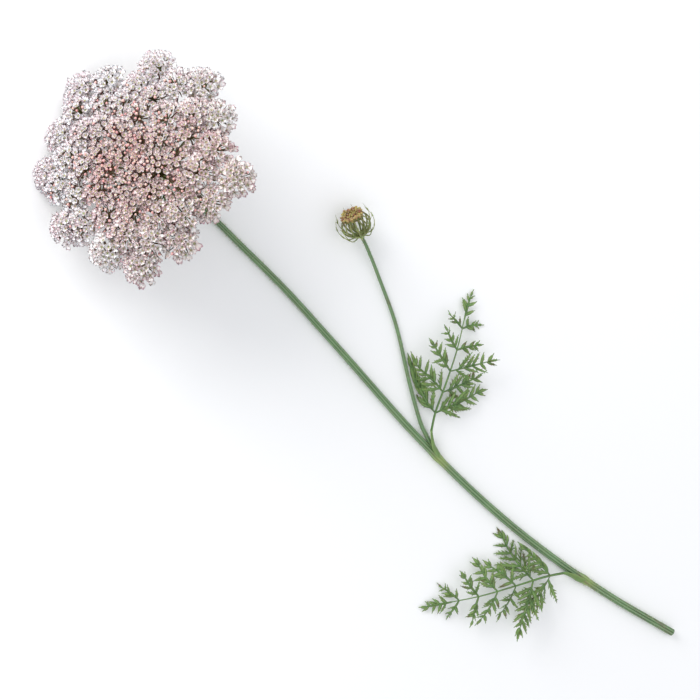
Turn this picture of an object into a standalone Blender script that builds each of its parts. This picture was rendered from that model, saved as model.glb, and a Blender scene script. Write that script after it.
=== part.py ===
# One cut stem of Queen Anne's lace, lying on a flat surface.
# The stem runs along X with its cut end at +X. Its neck bends up at -X and carries the flower
# head, an umbel, which leans on its rim. Two nodes on the stem carry a divided leaf each, and
# the upper node also carries a thin side stem with a young umbel, still closed like a nest.
# Sizes are in mm here and become metres where a mesh is made.
import math

import bmesh
import bpy
import numpy as np

MM = 0.001
GAP = 0.3  # clearance between pieces that meet
ORIGIN = (21.17, -1.782)  # x and y of the middle of the whole flower, moved to the part's origin

# The flower head: rays spread from a hub and each ends in a small umbel of florets.
UMBEL_TILT = 45.0  # degrees of the head's axis above the surface
UMBEL_TURN = 20.0  # degrees that the axis turns from the stem's line, towards -Y
UMBEL_SPIN = 32.25  # degrees about its own axis, which sets the head down on three small umbels
RAYS = 52
REACH = 42.0  # from the axis to the outermost small umbels
CROWN = 25.0  # height of the middle rays' ends over the hub
RIM_DROP = 9.0  # how much lower the outermost rays end
RIM_LEAN = 24.0  # degrees that the outermost small umbels face outwards
CROWDING = 0.6  # above 0.5 the small umbels stand closer in the middle
FULLNESS = (1.06, 1.3)  # a small umbel's radius over half its share, in the middle and at the rim
GOLDEN_ANGLE = 137.508
RAY_RADIUS = 0.44
RAY_SIDES = 4
RAY_BOW = 0.24  # how far back a ray starts to bend over, as a share of its length
HUB_RADIUS = 4.0
HUB_HEIGHT = 2.6
HUB_PLACE = (-126.0, -3.0)  # where the hub stands over the surface, x and y

# A small umbel: one floret in the middle and five round it, as shares of its radius.
WHORL = 5
WHORL_SLOPE = 32.0  # degrees that the five lean outwards
WHORL_PLACE = (0.6, 0.46)  # their centres, outwards and up from the end of the ray
WHORL_SIZE = 0.39
TOP_PLACE = 0.66
TOP_SIZE = 0.3
FOOT_RING = (0.12, 0.12)  # outwards and up, where the florets spring from the ray
CROWN_RING = (0.07, 0.24)
NOTCH = 0.56  # reach between two petals over that of their tips
FUNNEL = 0.3  # depth of a floret over its radius

# The involucre: a disc under the hub with a whorl of long bracts, cut into threads.
DISC_RADIUS = 2.3
DISC_HEIGHT = 1.5
BRACTS = 8
BRACT_LENGTH = 24.0
BRACT_LIFT = 5.0  # degrees above square to the head's axis

# The stem's centreline from the cut end to the foot of the neck: x, y, z and radius.
STEM_ROUTE = (
    (216.0, 12.0, 1.75, 1.75),
    (178.0, 4.0, 1.7, 1.7),
    (138.0, -2.0, 1.75, 1.7),
    (96.0, -5.0, 1.95, 1.65),
    (46.0, -4.5, 2.1, 1.6),
    (0.0, -1.0, 1.9, 1.5),
    (-42.0, 2.0, 1.55, 1.4),
    (-72.0, 2.6, 1.4, 1.35),
    (-92.0, 2.9, 1.5, 1.3),
    (-105.5, 2.6, 3.9, 1.25),
)
NECK_RADIUS = 1.15
NECK_RUN = 9.0  # straight last stretch under the involucre
STEM_STATIONS = 38
STEM_RIBS = 8
RIB_DEPTH = 0.1  # share of the radius
LOWER_NODE = 160.0  # x of the stem's nodes
UPPER_NODE = 62.0
NODE_SWELL = 0.22  # share of the radius
NODE_LENGTH = 3.0

# Flat blades, for each order from the lobe up: width, spacing of its pairs of side blades (0
# for none), width of their roots, their angle, and the longest one over the blade's own length.
LEAF_PLAN = (
    (2.0, 0.0, 0.0, 0.0, 0.0),
    (1.5, 8.5, 2.0, 42.0, 0.34),
    (1.5, 12.5, 1.9, 58.0, 0.38),
)
BRACT_PLAN = (
    (0.8, 0.0, 0.0, 0.0, 0.0),
    (1.1, 11.0, 1.2, 30.0, 0.3),
)
BLADE_THICKNESS = 0.7
BLADE_ROOT = 0.7  # half the width that a blade starts from
BLADE_TAPER = 0.45  # share of the width that a blade loses towards its tip
LOBE_SHOULDER = 0.45  # where a lobe starts to narrow to its point
SIDE_FALL = (0.7, 1.3)  # share and power by which side blades shorten towards the tip
SHEATH_ROWS = (0.0, 0.4, 0.8)  # shares of the sheath's length that have a row of points
SHEATH_PARTS = (0.0, 0.33, 0.67, 1.0)
SHEATH_TAPER = 0.35
SHEATH_LENGTH = 10.0
SHEATH_EDGES = (-30.0, 95.0)  # degrees round the stem from its side, below and above
LEAF_DROOP = 0.003  # fall of a leaf's sides per mm, squared
LEAF_STATIONS = 200
LEAF_CLEARANCE = 0.05  # least gap under a leaf
UPPER_POCKET = 4.0  # room in the sheath's mouth, wider where the side stem comes out of it
LOWER_POCKET = 0.5
UPPER_LEAF = (
    (51.5, 1.2, 3.4),
    (46.0, 9.0, 5.2),
    (40.0, 22.0, 6.6),
    (34.0, 36.0, 6.0),
    (28.0, 50.0, 2.6),
    (25.0, 58.0, 0.9),
)
LOWER_LEAF = (
    (149.5, -3.4, 3.4),
    (142.0, -11.0, 5.4),
    (132.0, -24.0, 6.8),
    (122.0, -38.0, 5.8),
    (112.0, -51.0, 2.6),
    (107.0, -58.0, 0.9),
)

# The side stem and its young umbel, whose rays curve in like a nest.
SIDE_STEM_ROUTE = (
    (52.5, -1.75, 2.2),
    (44.0, 1.6, 2.2),
    (28.0, 11.0, 1.8),
    (6.0, 25.0, 1.4),
    (-16.0, 35.0, 2.4),
)
SIDE_STEM_RUN = 6.0  # straight last stretch under the nest
SIDE_STEM_RADII = (1.0, 0.7)
SIDE_STEM_STATIONS = 18
NEST_PLACE = (-36.0, 41.5)
NEST_TILT = 16.0
NEST_TURN = -14.0
NEST_OUTER_RAYS = 10
NEST_INNER_RAYS = 3
NEST_RADIUS = 6.2
NEST_DEPTH = 12.0
NEST_OUTER = (1.0, 0.8)  # the outer and the inner rays' shares of that radius and depth
NEST_INNER = (0.5, 0.72)
NEST_RAY_SHAPE = ((0.1, 0.02), (0.78, 0.3), (1.0, 0.66), (0.76, 1.0))  # outwards and up
NEST_RAY_RADIUS = 0.42
TUFT_POINTS = 8
TUFT_NOTCH = 0.6
TUFT_RINGS = ((0.5, 1.35), (1.5, 1.3))  # height over the end of the ray, and radius
TUFT_HOLLOW = 1.3
NEST_HUB = (1.9, 1.52)  # radius and half height
NEST_BRACTS = 7
NEST_BRACT_LENGTH = 15.0
NEST_BRACT_SHAPE = ((0.08, 0.0), (0.4, 0.06), (0.56, 0.42), (0.5, 0.85))  # shares of that length
NEST_BRACT_RADIUS = 0.38


def clear_scene():
    for thing in list(bpy.data.objects):
        bpy.data.objects.remove(thing)


def material(name, colour, roughness):
    made = bpy.data.materials.new(name)
    made.use_nodes = True
    shader = made.node_tree.nodes["Principled BSDF"]
    shader.inputs["Base Color"].default_value = (*colour, 1.0)
    shader.inputs["Roughness"].default_value = roughness
    shader.inputs["Metallic"].default_value = 0.0
    return made


def collection(name):
    made = bpy.data.collections.new(name)
    bpy.context.scene.collection.children.link(made)
    return made


def wobble(index, kind):
    """A fixed draw from -1 to 1 for a numbered repeat, the same on every run."""
    value = math.sin(index * 12.9898 + kind * 78.233) * 43758.5453
    return 2 * (value - math.floor(value)) - 1


def smooth_route(points, stations):
    """Rows read from a smooth curve through the given rows, at stations counted in rows."""
    rows = np.array(points, float)
    ends = np.vstack([2 * rows[0] - rows[1], rows, 2 * rows[-1] - rows[-2]])
    found = []
    for at in stations:
        k = min(int(at), len(rows) - 2)
        t = at - k
        a, b, c, d = ends[k : k + 4]
        swing = (2 * a - 5 * b + 4 * c - d) * t**2 + (3 * b - a - 3 * c + d) * t**3
        found.append(0.5 * (2 * b + (c - a) * t + swing))
    return np.array(found)


def across(direction):
    """Two unit vectors square to a direction and to each other, the second one upwards."""
    ahead = np.array(direction, float)
    ahead /= np.linalg.norm(ahead)
    side = np.cross(ahead, (0.0, 0.0, 1.0))
    if np.linalg.norm(side) < 1e-6:
        side = np.array((0.0, 1.0, 0.0))
    side /= np.linalg.norm(side)
    return side, np.cross(side, ahead)


def spokes(count, first, second):
    """Unit vectors all round, from the first axis towards the second."""
    turns = np.arange(count) * 2 * math.pi / count
    return [math.cos(t) * first + math.sin(t) * second for t in turns]


class Loft:
    """A closed surface between rings of points of unlike number, which run anticlockwise."""

    def __init__(self):
        self.points = []
        self.faces = []

    def ring(self, points):
        start = len(self.points)
        self.points.extend(np.asarray(p, float) for p in points)
        return list(range(start, len(self.points)))

    def join(self, lower, upper):
        i, j = 0, 0
        while i < len(lower) or j < len(upper):
            one, other = lower[i % len(lower)], upper[j % len(upper)]
            if j == len(upper) or (i < len(lower) and (i + 1) * len(upper) <= (j + 1) * len(lower)):
                i += 1
                self.faces.append((one, lower[i % len(lower)], other))
            else:
                j += 1
                self.faces.append((one, upper[j % len(upper)], other))

    def close(self, ring, tip=None):
        """Shuts a ring with one face, or with a fan of faces up to a tip."""
        if tip is None:
            self.faces.append(ring)
            return
        peak = self.ring([tip])[0]
        self.faces.extend((ring[k], ring[(k + 1) % len(ring)], peak) for k in range(len(ring)))

    def tube(self, route, radii, sides):
        """A tube along a route with its first end shut. Returns the last ring, still open."""
        last = None
        for k, (at, radius) in enumerate(zip(route, radii)):
            side, up = across(route[min(k + 1, len(route) - 1)] - route[max(k - 1, 0)])
            new = self.ring([at + radius * s for s in spokes(sides, up, side)])
            if last is None:
                self.close(new[::-1])
            else:
                self.join(last, new)
            last = new
        return last

    def made(self, name, home, finish, frame):
        """The surface as an object. The frame is its place and three axes in the flower's."""
        return mesh_object(name, self.points, self.faces, home, finish, frame)


def mesh_object(name, points, faces, home, finish, frame):
    place, axes = frame
    turned = place - (*ORIGIN, 0.0) + np.array(points) @ np.array(axes)
    mesh = bpy.data.meshes.new(name)
    mesh.from_pydata((turned * MM).tolist(), [], [tuple(f) for f in faces])
    mesh.materials.append(finish)
    made = bpy.data.objects.new(name, mesh)
    home.objects.link(made)
    return made


def fuse(first, others):
    """Joins the objects of a helper collection to the first one, as a single solid."""
    union = first.modifiers.new("one body", "BOOLEAN")
    union.operation = "UNION"
    union.operand_type = "COLLECTION"
    union.solver = "MANIFOLD"
    union.collection = others
    graph = bpy.context.evaluated_depsgraph_get()
    mesh = bpy.data.meshes.new_from_object(first.evaluated_get(graph))
    first.modifiers.remove(union)
    first.data = mesh
    for helper in list(others.objects):
        bpy.data.objects.remove(helper)
    bpy.data.collections.remove(others)
    return first


def facing_axes(tilt, turn, spin):
    """Axes of something that faces -X, turned towards -Y and tilted up: two across, one out."""
    tilt, turn, spin = (math.radians(angle) for angle in (tilt, turn, spin))
    out = np.array((-math.cos(tilt) * math.cos(turn), -math.cos(tilt) * math.sin(turn), math.sin(tilt)))
    side, up = across(out)
    first = math.cos(spin) * up + math.sin(spin) * side
    return first, np.cross(out, first), out


def set_down(lofts, axes, over):
    """The place of a frame over a spot, as high as lets the lowest of its points touch down."""
    lowest = min((np.array(loft.points) @ np.array(axes))[:, 2].min() for loft in lofts)
    return np.array((*over, -lowest))


def ball(name, radius, height, home, finish, frame):
    """A round core, flattened along the frame's third axis."""
    core = bmesh.new()
    bmesh.ops.create_icosphere(core, subdivisions=2, radius=1.0)
    points = np.array([v.co[:] for v in core.verts]) * (radius, radius, height)
    faces = [[v.index for v in face.verts] for face in core.faces]
    core.free()
    return mesh_object(name, points, faces, home, finish, frame)


# The flower head


def ray_plan():
    """For each ray, in the head's own frame: where it ends, its small umbel's axis and radius."""
    plan = []
    for k in range(RAYS):
        share = (k + 0.5) / RAYS
        rim = share**CROWDING
        bearing = math.radians(k * GOLDEN_ANGLE + 5 * wobble(k, 1))
        reach = REACH * rim * (1 + 0.03 * wobble(k, 2) + 0.035 * rim * math.cos(3 * bearing + 0.6))
        height = CROWN - RIM_DROP * rim**2 + 1.1 * wobble(k, 3)
        lean = math.radians(RIM_LEAN) * rim + 0.07 * wobble(k, 4)
        outward = np.array((math.cos(bearing), math.sin(bearing), 0.0))
        axis = math.sin(lean) * outward + math.cos(lean) * np.array((0.0, 0.0, 1.0))
        half_share = REACH * math.sqrt(2 * CROWDING / RAYS) * share ** (CROWDING - 0.5)
        fullness = FULLNESS[0] + (FULLNESS[1] - FULLNESS[0]) * rim
        plan.append((reach * outward + (0, 0, height), axis, fullness * half_share))
    return plan


def ray_route(end, axis, stations):
    """A ray from inside the hub, bending over to arrive along its small umbel's axis."""
    length = np.linalg.norm(end)
    start = 0.4 * HUB_RADIUS * end / length
    bend = end - RAY_BOW * length * axis
    t = np.linspace(0, 1, stations)[:, None]
    return (1 - t) ** 2 * start + 2 * t * (1 - t) * bend + t**2 * end


def add_floret(loft, base, centre, facing, start, radius):
    """A five petalled floret that opens like a trumpet from the ring called base."""
    upright = start - np.dot(start, facing) * facing
    upright /= np.linalg.norm(upright)
    points = spokes(10, upright, np.cross(facing, upright))
    rim = loft.ring([centre + radius * (1.0, NOTCH)[k % 2] * p for k, p in enumerate(points)])
    loft.join(base, rim)
    loft.close(rim, centre - FUNNEL * radius * facing)


def small_umbel(end, axis, radius):
    """One ray with its small umbel, whose few florets are larger than life."""
    loft = Loft()
    low = loft.tube(ray_route(end, axis, 3), [RAY_RADIUS] * 3, RAY_SIDES)
    side, up = across(axis)
    around = spokes(WHORL, up, side)
    rings = []
    for out, high in (FOOT_RING, CROWN_RING):
        rings.append(loft.ring([end + radius * (out * s + high * axis) for s in around]))
    wide, top = rings
    loft.join(low, wide)
    slope = math.radians(WHORL_SLOPE)
    for k, s in enumerate(around):
        after = (k + 1) % WHORL
        middle = s + around[after]
        middle /= np.linalg.norm(middle)
        facing = math.sin(slope) * middle + math.cos(slope) * axis
        base = [wide[k], wide[after], top[after], top[k]]
        start = loft.points[wide[k]] - (loft.points[wide[k]] + loft.points[top[after]]) / 2
        centre = end + radius * (WHORL_PLACE[0] * middle + WHORL_PLACE[1] * axis)
        add_floret(loft, base, centre, facing, start, WHORL_SIZE * radius)
    add_floret(loft, top, end + TOP_PLACE * radius * axis, axis, around[0], TOP_SIZE * radius)
    return loft


def build_umbel(parts, finish):
    axes = facing_axes(UMBEL_TILT, UMBEL_TURN, UMBEL_SPIN)
    lofts = [small_umbel(*row) for row in ray_plan()]
    frame = set_down(lofts, axes, HUB_PLACE), axes
    repeats = collection("umbel repeats")
    for k, loft in enumerate(lofts):
        loft.made(f"ray {k}", repeats, finish, frame)
    fuse(ball("umbel", HUB_RADIUS, HUB_HEIGHT, parts, finish, frame), repeats)
    return frame


# The involucre


def grow(outline, left, right, heading, length, plan):
    """Grows a flat blade forward from the edge between two points, with its side blades.

    Flat points are complex numbers: the real part runs along the blade, the other to its left.
    """
    points, faces = outline
    width, spacing, root, angle, share = plan[-1]
    middle = (points[left] + points[right]) / 2

    def row(at):
        half = 0.5j * width * (1 - BLADE_TAPER * at) * heading
        points.extend((middle + at * length * heading + half, middle + at * length * heading - half))
        faces.append((left, right, len(points) - 1))
        faces.append((left, len(points) - 1, len(points) - 2))
        return len(points) - 2, len(points) - 1

    pairs = max(1, round(length / spacing)) if spacing else 0
    if not pairs:
        left, right = row(LOBE_SHOULDER)
    turn = np.exp(1j * math.radians(angle))
    for k in range(pairs):
        start = (k + 0.9) / (pairs + 0.8)
        left, right = row(start)
        back_left, back_right = left, right
        left, right = row(start + root / length)
        side = length * share * (1 - SIDE_FALL[0] * start ** SIDE_FALL[1])
        grow(outline, back_left, left, heading * turn, side, plan[:-1])
        grow(outline, right, back_right, heading / turn, side, plan[:-1])
    points.append(middle + length * heading)
    faces.append((left, right, len(points) - 1))


def thicken(blade):
    wall = blade.modifiers.new("blade", "SOLIDIFY")
    wall.thickness = BLADE_THICKNESS * MM
    wall.offset = 0.0


def build_involucre(hub_frame, parts, finish):
    hub, axes = hub_frame
    frame = hub - (HUB_HEIGHT + GAP + DISC_HEIGHT / 2) * axes[2], axes
    repeats = collection("bract repeats")
    for k in range(BRACTS):
        bearing = math.radians(360 * (k + 0.2 * wobble(k, 5)) / BRACTS)
        lift = math.tan(math.radians(BRACT_LIFT + 4 * wobble(k, 7)))
        outward = np.array((math.cos(bearing), math.sin(bearing), lift))
        aside = np.array((-math.sin(bearing), math.cos(bearing), 0.0))
        points, faces = [1j * BLADE_ROOT, -1j * BLADE_ROOT], []
        grow((points, faces), 0, 1, 1 + 0j, BRACT_LENGTH * (1 + 0.08 * wobble(k, 6)), BRACT_PLAN)
        placed = [(p.real + 0.4 * DISC_RADIUS) * outward + p.imag * aside for p in points]
        thicken(mesh_object("bract", placed, faces, repeats, finish, frame))
    disc = Loft()
    around = spokes(12, np.array((1.0, 0.0, 0.0)), np.array((0.0, 1.0, 0.0)))
    low = disc.ring([0.72 * DISC_RADIUS * s - (0, 0, DISC_HEIGHT / 2) for s in around])
    high = disc.ring([DISC_RADIUS * s + (0, 0, DISC_HEIGHT / 2) for s in around])
    disc.close(low[::-1])
    disc.join(low, high)
    disc.close(high)
    fuse(disc.made("involucre", parts, finish, frame), repeats)


# The stem


def stem_rows(hub_frame):
    """Rows of x, y, z and radius along the stem, closer together at its nodes."""
    hub, axes = hub_frame
    top = hub - (HUB_HEIGHT + DISC_HEIGHT + 2 * GAP) * axes[2]
    foot = top - NECK_RUN * axes[2]
    rows = [*STEM_ROUTE, (*foot, 1.04 * NECK_RADIUS), (*top, NECK_RADIUS)]
    fine = np.linspace(0, len(STEM_ROUTE) - 1, 400)
    xs = smooth_route(rows, fine)[:, 0]
    near = [x + step * NODE_LENGTH for x in (LOWER_NODE, UPPER_NODE) for step in (-1, 0, 1)]
    extra = np.interp(near, xs[::-1], fine[::-1])
    stations = np.sort([*np.linspace(0, len(rows) - 1, STEM_STATIONS), *extra])
    found = smooth_route(rows, stations)
    for node in (LOWER_NODE, UPPER_NODE):
        found[:, 3] *= 1 + NODE_SWELL * np.exp(-(((found[:, 0] - node) / NODE_LENGTH) ** 2))
    found[:, 2] = np.maximum(found[:, 2], found[:, 3])
    return found


def ribbed_profile(guides):
    """The outline that is swept along the stem: a circle of 1 mm with shallow grooves."""
    outline = bpy.data.curves.new("stem profile", "CURVE")
    spline = outline.splines.new("POLY")
    count = 2 * STEM_RIBS
    spline.points.add(count - 1)
    for k in range(count):
        reach = MM * (1 - RIB_DEPTH * (k % 2))
        turn = 2 * math.pi * k / count
        spline.points[k].co = (reach * math.cos(turn), -reach * math.sin(turn), 0.0, 1.0)
    spline.use_cyclic_u = True
    made = bpy.data.objects.new("stem profile", outline)
    made.hide_render = True
    made.display_type = "WIRE"
    guides.objects.link(made)
    return made


def swept(name, rows, home, finish):
    """A curve object through rows of x, y, z and radius in mm, with filled ends."""
    curve = bpy.data.curves.new(name, "CURVE")
    curve.dimensions = "3D"
    curve.use_fill_caps = True
    spline = curve.splines.new("POLY")
    spline.points.add(len(rows) - 1)
    for point, (x, y, z, radius) in zip(spline.points, rows):
        point.co = ((x - ORIGIN[0]) * MM, (y - ORIGIN[1]) * MM, z * MM, 1.0)
        point.radius = radius
    curve.materials.append(finish)
    made = bpy.data.objects.new(name, curve)
    home.objects.link(made)
    return made


def build_stem(rows, parts, guides, finish):
    stem = swept("stem", rows, parts, finish)
    stem.data.bevel_mode = "OBJECT"
    stem.data.bevel_object = ribbed_profile(guides)


# The leaves


def leaf_spots(flat_points, rib):
    """Places flat points along a leaf's arched rib. The blade's sides droop."""
    ends = np.linspace(0, len(rib) - 1, LEAF_STATIONS)
    steps = np.linalg.norm(np.diff(smooth_route(rib, ends), axis=0), axis=1)
    run = np.concatenate([[0.0], np.cumsum(steps)])
    placed = []
    for flat in flat_points:
        at = np.interp(flat.real, run, ends)
        before, here, after = smooth_route(rib, [max(at - 0.05, 0), at, min(at + 0.05, len(rib) - 1)])
        side = -across(after - before)[0]
        beyond = max(flat.real - run[-1], 0.0) / np.linalg.norm(after - before)
        spot = here + flat.imag * side + beyond * (after - before)
        spot[2] -= LEAF_DROOP * flat.imag**2
        spot[2] = max(spot[2], BLADE_THICKNESS / 2 + LEAF_CLEARANCE)
        placed.append(spot)
    return placed


def sheath_spots(node, hand, pocket, stem):
    """Points of a sheath that clasps the stem below a node and opens away from it."""
    low, high = (math.radians(edge) for edge in SHEATH_EDGES)
    placed = []
    for share in SHEATH_ROWS:
        x = node - share * SHEATH_LENGTH
        y, z, radius = [np.interp(x, stem[::-1, 0], stem[::-1, column]) for column in (1, 2, 3)]
        reach = radius + GAP + BLADE_THICKNESS / 2 + pocket * share**2
        narrow = SHEATH_TAPER * share
        for part in SHEATH_PARTS:
            angle = low + (high - low) * (narrow / 2 + (1 - narrow) * part)
            placed.append((x, y + hand * reach * math.cos(angle), z + reach * math.sin(angle)))
    return placed


def build_leaf(name, rib, node, hand, pocket, stem, parts, finish):
    """A leaf along its rib, from a sheath that clasps the stem at a node. Hand is +1 for +Y."""
    points, faces = [1j * BLADE_ROOT, -1j * BLADE_ROOT], []
    chords = np.diff(smooth_route(rib, np.linspace(0, len(rib) - 1, LEAF_STATIONS)), axis=0)
    length = np.linalg.norm(chords, axis=1).sum()
    grow((points, faces), 0, 1, 1 + 0j, length, LEAF_PLAN)
    placed = leaf_spots(points, rib)
    first = len(placed)
    placed.extend(sheath_spots(node, hand, pocket, stem))
    wide = len(SHEATH_PARTS)
    sheath = []
    for start in range(first, len(placed) - wide, wide):
        for k in range(start, start + wide - 1):
            sheath.append((k, k + 1, k + 1 + wide))
            sheath.append((k, k + 1 + wide, k + wide))
    last = range(len(placed) - wide, len(placed))
    outer, inner = (1, 0) if hand > 0 else (0, 1)
    sheath.append((last[0], last[1], outer))
    sheath.append((last[1], last[2], outer))
    sheath.append((last[2], inner, outer))
    sheath.append((last[2], last[3], inner))
    if hand > 0:
        sheath = [face[::-1] for face in sheath]
    frame = np.zeros(3), np.eye(3)
    thicken(mesh_object(name, placed, faces + sheath, parts, finish, frame))


# The side stem and the nest


def nest_ray(bearing, shares):
    """A ray that swings out and back in, with a tuft of closed buds at its end."""
    outward = np.array((math.cos(bearing), math.sin(bearing), 0.0))
    radius, depth = NEST_RADIUS * shares[0], NEST_DEPTH * shares[1]
    route = [radius * out * outward + (0, 0, depth * high) for out, high in NEST_RAY_SHAPE]
    loft = Loft()
    last = loft.tube(route, [NEST_RAY_RADIUS] * len(route), RAY_SIDES)
    axis = route[-1] - route[-2]
    axis = axis / np.linalg.norm(axis)
    side, up = across(axis)
    around = spokes(TUFT_POINTS, up, side)
    for height, reach in TUFT_RINGS:
        middle = route[-1] + height * axis
        tuft = loft.ring([middle + reach * (1.0, TUFT_NOTCH)[k % 2] * s for k, s in enumerate(around)])
        loft.join(last, tuft)
        last = tuft
    loft.close(last, route[-1] + TUFT_HOLLOW * axis)
    return loft


def nest_bract(bearing):
    """A bract that cups the nest and ends in a point."""
    outward = np.array((math.cos(bearing), math.sin(bearing), 0.0))
    route = [NEST_BRACT_LENGTH * (out * outward + (0, 0, high)) for out, high in NEST_BRACT_SHAPE]
    loft = Loft()
    last = loft.tube(route[:-1], [NEST_BRACT_RADIUS] * len(route[:-1]), RAY_SIDES)
    loft.close(last, route[-1])
    return loft


def build_side_shoot(parts, finish, bud_finish):
    axes = facing_axes(NEST_TILT, NEST_TURN, 0.0)
    lofts = []
    for k in range(NEST_OUTER_RAYS):
        lofts.append(nest_ray(2 * math.pi * k / NEST_OUTER_RAYS, NEST_OUTER))
    for k in range(NEST_INNER_RAYS):
        lofts.append(nest_ray(2 * math.pi * (k + 0.3) / NEST_INNER_RAYS, NEST_INNER))
    for k in range(NEST_BRACTS):
        lofts.append(nest_bract(2 * math.pi * (k + 0.5) / NEST_BRACTS))
    place = set_down(lofts, axes, NEST_PLACE)
    repeats = collection("nest repeats")
    for loft in lofts:
        loft.made("nest ray", repeats, bud_finish, (place, axes))
    fuse(ball("side_umbel", *NEST_HUB, parts, bud_finish, (place, axes)), repeats)
    end = place - (NEST_HUB[1] + GAP) * axes[2]
    route = [*SIDE_STEM_ROUTE, end - SIDE_STEM_RUN * axes[2], end]
    rows = smooth_route(route, np.linspace(0, len(route) - 1, SIDE_STEM_STATIONS))
    radii = np.linspace(*SIDE_STEM_RADII, SIDE_STEM_STATIONS)
    stem = swept("side_stem", np.column_stack([rows, radii]), parts, finish)
    stem.data.bevel_depth = MM
    stem.data.bevel_resolution = 2


def main():
    clear_scene()
    parts = collection("queen annes lace flower")
    guides = collection("guides")
    stem_green = material("stem green", (0.16, 0.25, 0.12), 0.55)
    leaf_green = material("leaf green", (0.2, 0.36, 0.17), 0.5)
    bud_green = material("bud green", (0.3, 0.34, 0.2), 0.6)
    blush = material("blush petals", (0.72, 0.55, 0.52), 0.6)
    hub_frame = build_umbel(parts, blush)
    build_involucre(hub_frame, parts, leaf_green)
    stem = stem_rows(hub_frame)
    build_stem(stem, parts, guides, stem_green)
    build_leaf("upper_leaf", UPPER_LEAF, UPPER_NODE, 1, UPPER_POCKET, stem, parts, leaf_green)
    build_leaf("lower_leaf", LOWER_LEAF, LOWER_NODE, -1, LOWER_POCKET, stem, parts, leaf_green)
    build_side_shoot(parts, stem_green, bud_green)


main()
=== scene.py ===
import math

import bpy
import numpy as np
from mathutils import Matrix, Vector


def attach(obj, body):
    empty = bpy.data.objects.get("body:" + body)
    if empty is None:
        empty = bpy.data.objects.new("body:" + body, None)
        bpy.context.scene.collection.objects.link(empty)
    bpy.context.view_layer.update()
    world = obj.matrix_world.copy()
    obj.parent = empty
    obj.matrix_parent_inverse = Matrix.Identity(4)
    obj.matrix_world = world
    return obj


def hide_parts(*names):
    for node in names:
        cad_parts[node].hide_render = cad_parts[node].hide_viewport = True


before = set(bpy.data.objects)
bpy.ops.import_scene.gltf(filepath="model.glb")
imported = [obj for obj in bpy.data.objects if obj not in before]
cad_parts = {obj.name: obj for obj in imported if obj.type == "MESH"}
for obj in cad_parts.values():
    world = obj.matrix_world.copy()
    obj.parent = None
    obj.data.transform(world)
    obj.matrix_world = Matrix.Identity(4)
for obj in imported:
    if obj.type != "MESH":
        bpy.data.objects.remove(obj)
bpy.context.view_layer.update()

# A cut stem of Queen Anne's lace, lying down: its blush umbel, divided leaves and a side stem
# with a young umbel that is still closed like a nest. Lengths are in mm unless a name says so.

rng = np.random.default_rng(7)
mm = 0.001
middle = np.array((21.17, -1.782, 0.0))  # the flower's own frame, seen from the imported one
upright = np.array((0.0, 0.0, 1.0))
fullTurn = 2 * math.pi
goldenAngle = 2.39996  # radians from one floret to the next


# Vectors over their own length.
def unit(v):
    return v / np.maximum(np.linalg.norm(v, axis=-1, keepdims=True), 1e-9)


# From a to b by the share t.
def lerp(a, b, t):
    return a + (b - a) * t


# Even steps from 0 to 1, down a column.
def steps(count):
    return np.linspace(0, 1, count)[:, None]


# A soft step from 0 to 1: three t squared less two t cubed.
def smooth(t):
    t = np.clip(t, 0.0, 1.0)
    return t * t * (3 - 2 * t)


# A fixed draw from -1 to 1 for a numbered repeat: the fraction of a large sine.
def wobble(index, kind):
    value = np.sin(index * 12.9898 + kind * 78.233) * 43758.5453
    return 2 * (value - np.floor(value)) - 1


# Directions at an angle between two: cosine times the first plus sine times the second.
def around(turn, first, second):
    return np.cos(turn)[..., None] * first + np.sin(turn)[..., None] * second


# Straight out from the upright axis at an angle: cosine, sine and 0. Then square to that.
def spoke(turn):
    outward = np.stack([np.cos(turn), np.sin(turn), np.zeros_like(turn)], -1)
    return outward, np.cross(upright, outward)


# Evenly spaced angles round a circle, and its points.
def circle(sides):
    turn = np.arange(sides) * fullTurn / sides
    return turn, spoke(turn)[0]


# Axes of something that faces -X, turned towards -Y and tilted up: two across, one out.
def facingAxes(tilt, turn, spin):
    tilt, turn, spin = np.radians((tilt, turn, spin))
    out = math.sin(tilt) * upright - math.cos(tilt) * spoke(turn)[0]
    side = unit(np.cross(out, upright))
    first = around(spin, np.cross(side, out), side)
    return np.array((first, np.cross(out, first), out))


# Evenly spaced rows on a smooth curve: a Catmull-Rom cubic through the given rows.
def route(rows, count):
    rows = np.asarray(rows, float)
    ends = np.vstack([2 * rows[0] - rows[1], rows, 2 * rows[-1] - rows[-2]])
    at = np.linspace(0, len(rows) - 1, count)
    k = np.minimum(at.astype(int), len(rows) - 2)
    t = (at - k)[:, None]
    a, b, c, d = (ends[k + i] for i in range(4))
    square, cube = 2 * a - 5 * b + 4 * c - d, 3 * b - a - 3 * c + d
    return 0.5 * (2 * b + (c - a) * t + square * t**2 + cube * t**3)


# Curves from a past b to c: (1 - t) squared a, 2 t (1 - t) b and t squared c.
def arcs(a, b, c, count):
    t = steps(count)
    return (1 - t) ** 2 * a[:, None] + 2 * t * (1 - t) * b[:, None] + t**2 * c[:, None]


# For each direction, two unit vectors square to it and to each other.
def sideOf(ahead):
    ahead = unit(ahead)
    helper = np.where(np.abs(ahead[..., 2:3]) > 0.92, (1.0, 0.0, 0.0), upright)
    side = unit(np.cross(ahead, helper))
    return side, np.cross(side, ahead)


# The direction at every point of each path: the difference of its neighbours.
def along(paths):
    return np.gradient(paths, axis=-2)


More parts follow.
